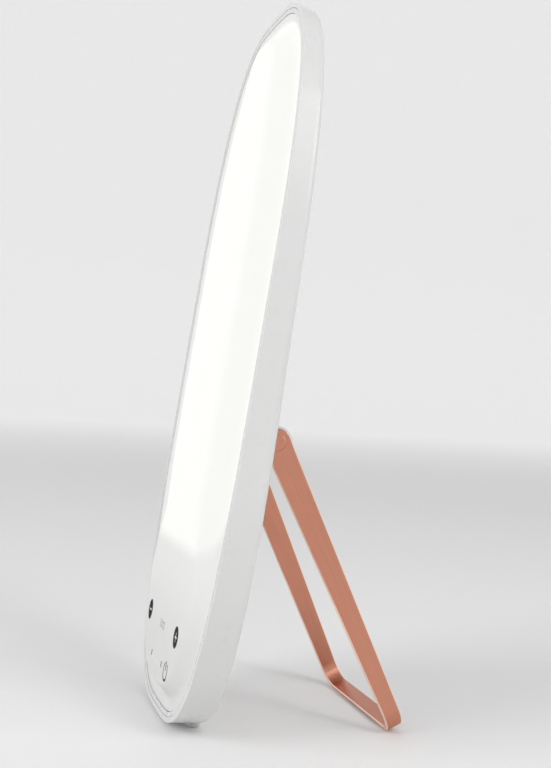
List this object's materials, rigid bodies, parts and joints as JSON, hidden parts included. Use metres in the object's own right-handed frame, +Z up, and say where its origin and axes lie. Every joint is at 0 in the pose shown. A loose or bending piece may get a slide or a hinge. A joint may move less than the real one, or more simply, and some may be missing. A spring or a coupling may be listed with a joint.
{
  "type": "light therapy lamp",
  "caption": "Leaning oval light panel with a glowing crowned front, touch keys below the lit window and a fold-out strip stand hinged at the back",
  "frame": {"origin": "on the table, under the middle of the lamp's bounding box", "axes": "+Z up, +X to the viewer's right seen from the front, +Y towards the back; the lit front faces -Y"},
  "size_m": [0.1776, 0.1158, 0.3587],
  "materials": {
    "plate": "rolled",
    "chips": "moulded",
    "screw": "zinc plated",
    "green_board": "green solder mask",
    "tape": "matt",
    "jack": "moulded",
    "diffuser": "frosted",
    "foot": "matt",
    "bezel": "satin",
    "cover": "opal",
    "bushing": "turned",
    "clip": "blackened",
    "pin": "ground",
    "spring_steel": "bright",
    "washer": "nylon",
    "circuit_board": "white solder mask",
    "led": "phosphor",
    "light_guide": "polished",
    "cap": "anodised",
    "housing": "satin",
    "reflector": "white film",
    "pad": "matt",
    "copper_strip": "anodised, bright bevelled edges",
    "display": "dark window"
  },
  "bodies": {
    "panel": {"back_plate": "plate", "board_parts": "chips", "board_screws": "screw", "control_board": "green_board", "cover_tape": "tape", "dc_jack": "jack", "diffuser_sheet": "diffuser", "foot_left": "foot", "foot_right": "foot", "front_bezel": "bezel", "front_cover": "cover", "hinge_bushing_left": "bushing", "hinge_bushing_right": "bushing", "housing_screws": "screw", "led_strip_left": "circuit_board", "led_strip_right": "circuit_board", "leds_left": "led", "leds_right": "led", "light_guide": "light_guide", "plate_screws": "screw", "rear_housing": "housing", "reflector_sheet": "reflector", "timer_display": "display", "touch_board": "green_board", "touch_springs": "spring_steel"},
    "stand": {"hinge_clip_left": "clip", "hinge_clip_right": "clip", "hinge_pin_left": "pin", "hinge_pin_right": "pin", "hinge_spring_left": "spring_steel", "hinge_spring_right": "spring_steel", "hinge_washer_left": "washer", "hinge_washer_right": "washer", "pivot_cap_left": "cap", "pivot_cap_right": "cap", "stand_pad": "pad", "stand_strip": "copper_strip"}
  },
  "joints": [
    {"name": "stand_hinge", "type": "hinge", "parent": "panel", "child": "stand", "pos_m": [0, -0.0117, 0.14042], "axis": [-1, 0, 0], "range_deg": [0, 32.5]}
  ]
}
